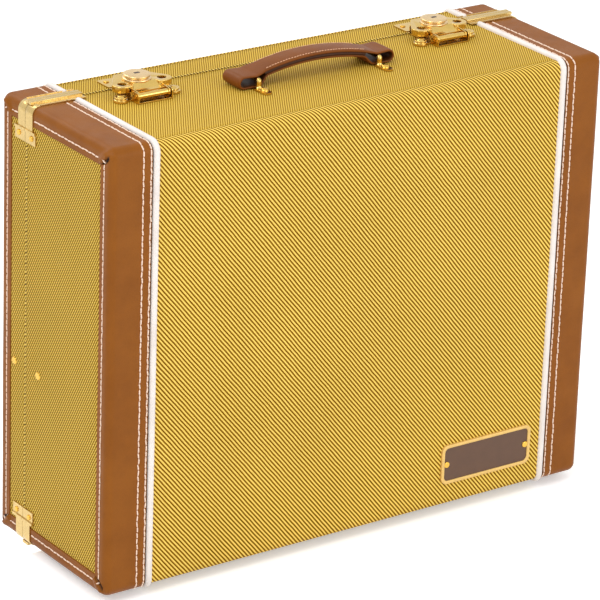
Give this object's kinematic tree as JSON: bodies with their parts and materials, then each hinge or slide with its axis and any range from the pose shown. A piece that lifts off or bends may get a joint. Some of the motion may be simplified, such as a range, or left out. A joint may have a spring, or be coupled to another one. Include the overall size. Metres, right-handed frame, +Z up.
{
  "type": "guitar pedal case",
  "caption": "Tweed-covered hard case for guitar pedals with leather ends, a hinged lid, key-locked draw latches, corner seam guards and a strap handle.",
  "frame": {"origin": "on the ground under the middle of the case, which stands on its hinge side", "axes": "+X along the case to its right end, +Y to the back where the lid is, +Z up towards the handle"},
  "size_m": [0.5178, 0.1798, 0.4341],
  "materials": {
    "case_plywood": "raw plywood, hidden under the covers",
    "rim_wood": "stained, satin",
    "tweed": "diagonal two-tone twill, lacquered",
    "leather": "smooth saddle leather, semi-gloss",
    "piping": "satin vinyl",
    "lining": "short plush pile",
    "badge_plate": "dark brown enamel",
    "spring_steel": "tempered strip",
    "brass": "polished",
    "brass_fasteners": "polished"
  },
  "bodies": {
    "case_body": {"badge_frame": "brass", "badge_plate": "badge_plate", "badge_rivets": "brass_fasteners", "body_leather_left": "leather", "body_leather_right": "leather", "body_lining": "lining", "body_piping": "piping", "body_rim": "rim_wood", "body_shell": "case_plywood", "body_tweed_cover": "tweed", "body_tweed_ends": "tweed", "case_feet": "brass", "guard_screws_body": "brass_fasteners", "handle_brackets": "brass", "handle_rivets": "brass_fasteners", "hinge_leaf_body_left": "brass", "hinge_leaf_body_right": "brass", "hinge_pins": "brass", "hinge_rivets_body": "brass_fasteners", "latch_base_left": "brass", "latch_base_right": "brass", "latch_rivets": "brass_fasteners", "latch_rollers": "brass", "seam_guards_body_bottom": "brass", "seam_guards_body_top": "brass", "stay_pivots_body": "brass_fasteners"},
    "lid": {"guard_screws_lid": "brass_fasteners", "hinge_leaf_lid_left": "brass", "hinge_leaf_lid_right": "brass", "hinge_rivets_lid": "brass_fasteners", "lid_leather_left": "leather", "lid_leather_right": "leather", "lid_lining": "lining", "lid_piping": "piping", "lid_shell": "case_plywood", "lid_tweed_cover": "tweed", "lid_tweed_ends": "tweed", "seam_guards_lid_bottom": "brass", "seam_guards_lid_top": "brass", "stay_pivots_lid": "brass_fasteners", "strike_left": "brass", "strike_right": "brass", "strike_rivets": "brass_fasteners"},
    "stay_body_bars": {"stay_bar_body_left": "brass", "stay_bar_body_right": "brass"},
    "stay_lid_bars": {"stay_bar_lid_left": "brass", "stay_bar_lid_right": "brass"},
    "handle": {"handle_core": "spring_steel", "handle_grip": "leather"},
    "latch_lever_left": {"latch_lever_left": "brass"},
    "latch_claw_left": {"latch_claw_left": "brass"},
    "latch_knob_left": {"latch_knob_left": "brass"},
    "latch_lever_right": {"latch_lever_right": "brass"},
    "latch_claw_right": {"latch_claw_right": "brass"},
    "latch_knob_right": {"latch_knob_right": "brass"}
  },
  "joints": [
    {"name": "lid_hinge", "type": "hinge", "parent": "case_body", "child": "lid", "pos_m": [0, 0.0469, 0.0044], "axis": [-1, 0, 0], "range_deg": [0, 100]},
    {"name": "stay_body_pivot", "type": "hinge", "parent": "case_body", "child": "stay_body_bars", "pos_m": [0, 0.0249, 0.1734], "axis": [-1, 0, 0], "range_deg": [0, 100]},
    {"name": "stay_lid_pivot", "type": "hinge", "parent": "lid", "child": "stay_lid_bars", "pos_m": [0, 0.0639, 0.17398], "axis": [-1, 0, 0], "range_deg": [-100, 0]},
    {"name": "handle_lift", "type": "slide", "parent": "case_body", "child": "handle", "axis": [0, 0, 1], "range_m": [0, 0.003]},
    {"name": "latch_left", "type": "hinge", "parent": "case_body", "child": "latch_lever_left", "pos_m": [-0.1573, 0.0052, 0.4184], "axis": [1, 0, 0], "range_deg": [0, 100]},
    {"name": "claw_left", "type": "hinge", "parent": "latch_lever_left", "child": "latch_claw_left", "pos_m": [-0.1573, 0.042, 0.4211], "axis": [1, 0, 0], "range_deg": [-25, 0]},
    {"name": "key_left", "type": "hinge", "parent": "latch_lever_left", "child": "latch_knob_left", "pos_m": [-0.1573, 0.0312, 0.4248], "axis": [0, 0, -1], "range_deg": [0, 90]},
    {"name": "latch_right", "type": "hinge", "parent": "case_body", "child": "latch_lever_right", "pos_m": [0.1573, 0.0052, 0.4184], "axis": [1, 0, 0], "range_deg": [0, 100]},
    {"name": "claw_right", "type": "hinge", "parent": "latch_lever_right", "child": "latch_claw_right", "pos_m": [0.1573, 0.042, 0.4211], "axis": [1, 0, 0], "range_deg": [-25, 0]},
    {"name": "key_right", "type": "hinge", "parent": "latch_lever_right", "child": "latch_knob_right", "pos_m": [0.1573, 0.0312, 0.4248], "axis": [0, 0, -1], "range_deg": [0, 90]}
  ],
  "couplings": [
    {"joint": "stay_body_pivot", "follows": "lid_hinge", "ratio": 1},
    {"joint": "stay_lid_pivot", "follows": "lid_hinge", "ratio": -1},
    {"joint": "claw_left", "follows": "latch_left", "ratio": -0.25},
    {"joint": "claw_right", "follows": "latch_right", "ratio": -0.25}
  ]
}
